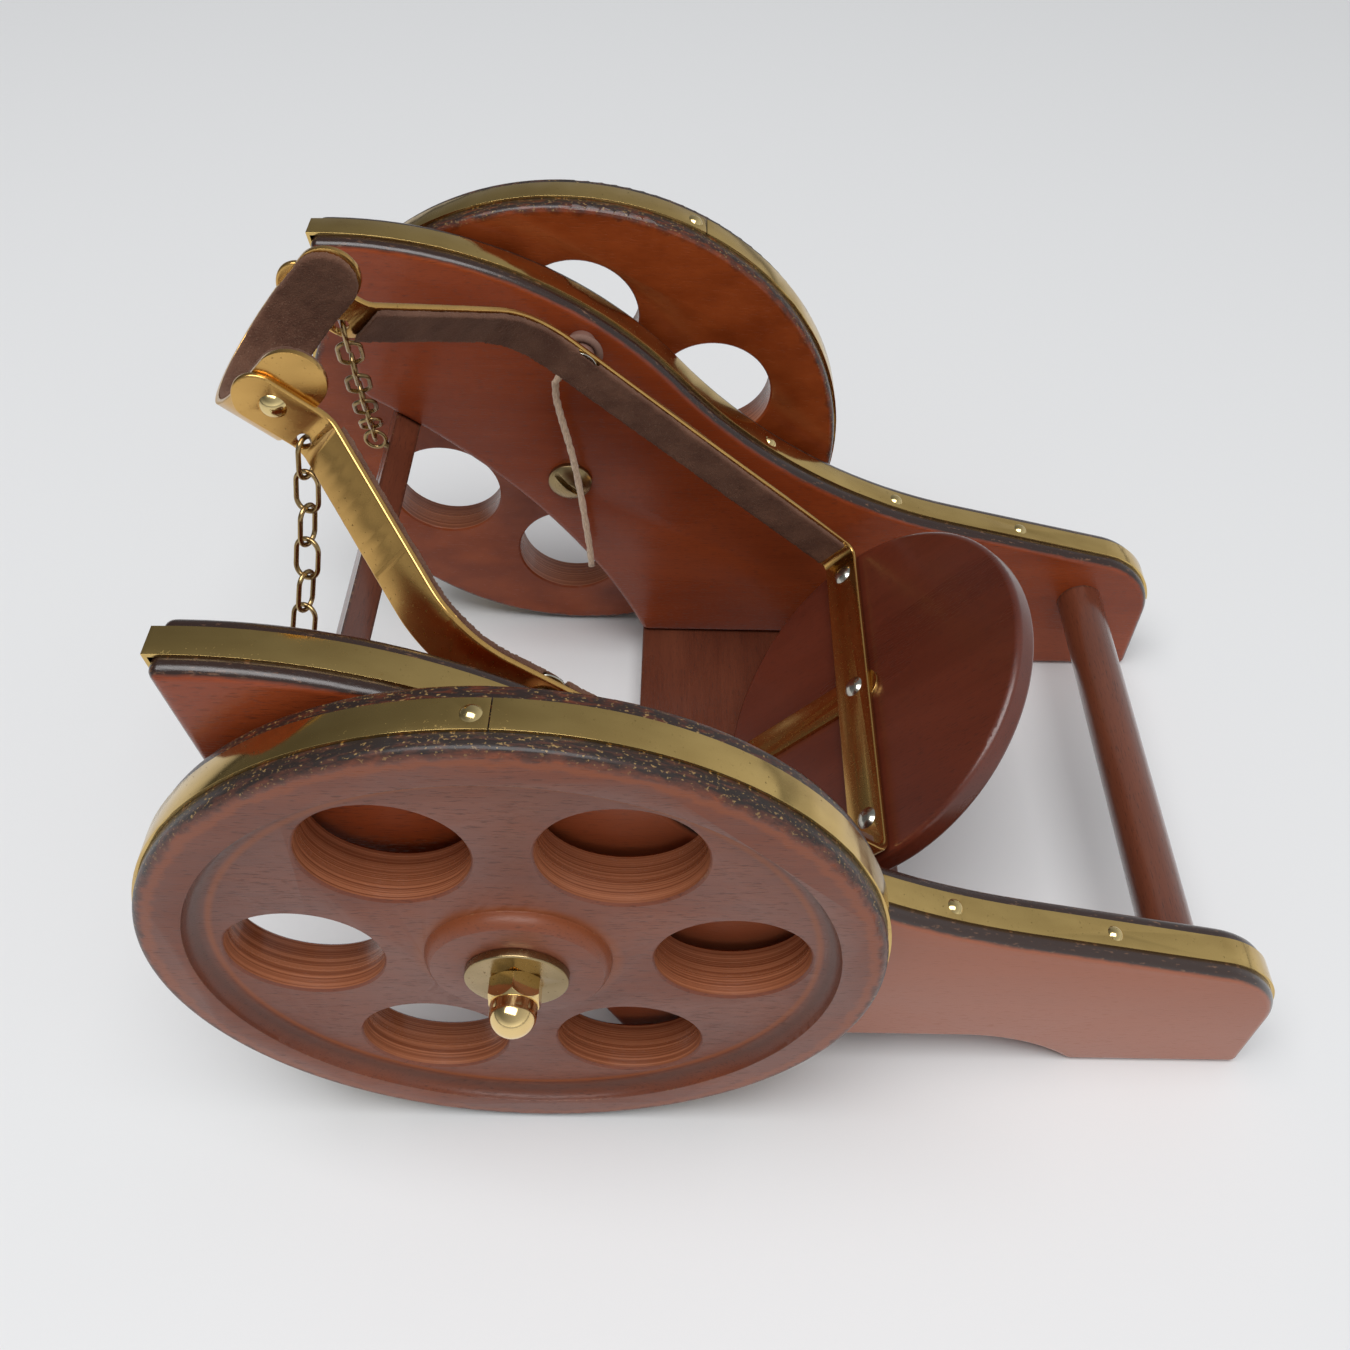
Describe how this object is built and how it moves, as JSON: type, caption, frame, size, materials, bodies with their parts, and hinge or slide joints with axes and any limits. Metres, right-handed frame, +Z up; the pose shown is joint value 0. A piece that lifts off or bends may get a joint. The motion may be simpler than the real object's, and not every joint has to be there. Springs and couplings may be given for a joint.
{
  "type": "bottle cradle",
  "caption": "Bottle holder shaped like a gun carriage: two wooden cheeks on spoked wheels carry a tilting brass cradle that holds a squat bottle by base and neck.",
  "frame": {"origin": "centre of the footprint, on the surface it stands on", "axes": "-X to the front where the bottle's neck points, +X to the rear, -Y left, +Z up"},
  "size_m": [0.25, 0.2058, 0.1758],
  "materials": {
    "carriage_wood": "reddish-brown stained hardwood under satin lacquer",
    "wheel_wood": "red-brown stained hardwood, turned, satin lacquer with a dusty bloom",
    "disc_wood": "red-brown stained hardwood disc, satin lacquer",
    "strip_brass": "aged brass strip, softly polished",
    "cradle_brass": "brushed brass strip, slightly tarnished",
    "pin_brass": "polished brass round heads",
    "nut_brass": "bright polished brass",
    "chain_brass": "drawn brass wire",
    "plated_steel": "brassed steel, slightly green and worn",
    "screw_steel": "nickel-plated steel",
    "pale_spacer": "pale translucent plastic tube",
    "suede": "dark brown suede",
    "twine": "twisted natural fibre"
  },
  "bodies": {
    "carriage": {"left_cheek": "carriage_wood", "right_cheek": "carriage_wood", "left_cheek_band": "strip_brass", "right_cheek_band": "strip_brass", "left_band_pins": "pin_brass", "right_band_pins": "pin_brass", "front_slat": "carriage_wood", "base_board": "carriage_wood", "rear_dowel": "carriage_wood", "left_axle_bolt": "plated_steel", "right_axle_bolt": "plated_steel", "left_spacer_washer": "plated_steel", "right_spacer_washer": "plated_steel", "left_axle_washer": "plated_steel", "right_axle_washer": "plated_steel", "left_axle_nut": "nut_brass", "right_axle_nut": "nut_brass", "left_trunnion_screw": "screw_steel", "right_trunnion_screw": "screw_steel", "left_trunnion_spacer": "pale_spacer", "right_trunnion_spacer": "pale_spacer", "left_chain_eye": "chain_brass", "right_chain_eye": "chain_brass", "left_chain": "chain_brass", "right_chain": "chain_brass", "twine_loop": "twine", "twine": "twine"},
    "left_wheel": {"left_wheel": "wheel_wood", "left_tyre": "strip_brass", "left_tyre_pin": "pin_brass"},
    "right_wheel": {"right_wheel": "wheel_wood", "right_tyre": "strip_brass", "right_tyre_pin": "pin_brass"},
    "cradle": {"cradle_disc": "disc_wood", "cradle_strap": "cradle_brass", "strap_screws": "screw_steel", "lower_strap": "cradle_brass", "neck_band": "cradle_brass", "neck_rivets": "pin_brass", "neck_lining": "suede", "left_arm_lining": "suede", "right_arm_lining": "suede"}
  },
  "joints": [
    {"name": "left_wheel_spin", "type": "hinge", "parent": "carriage", "child": "left_wheel", "pos_m": [-0.04974, -0.08225, 0.075], "axis": [0, 1, 0], "continuous": true},
    {"name": "right_wheel_spin", "type": "hinge", "parent": "carriage", "child": "right_wheel", "pos_m": [-0.04974, 0.08225, 0.075], "axis": [0, 1, 0], "continuous": true},
    {"name": "cradle_tilt", "type": "hinge", "parent": "carriage", "child": "cradle", "pos_m": [-0.04447, 0, 0.12099], "axis": [0, -1, 0], "range_deg": [0, 49], "deforming": ["left_chain", "right_chain"]}
  ]
}
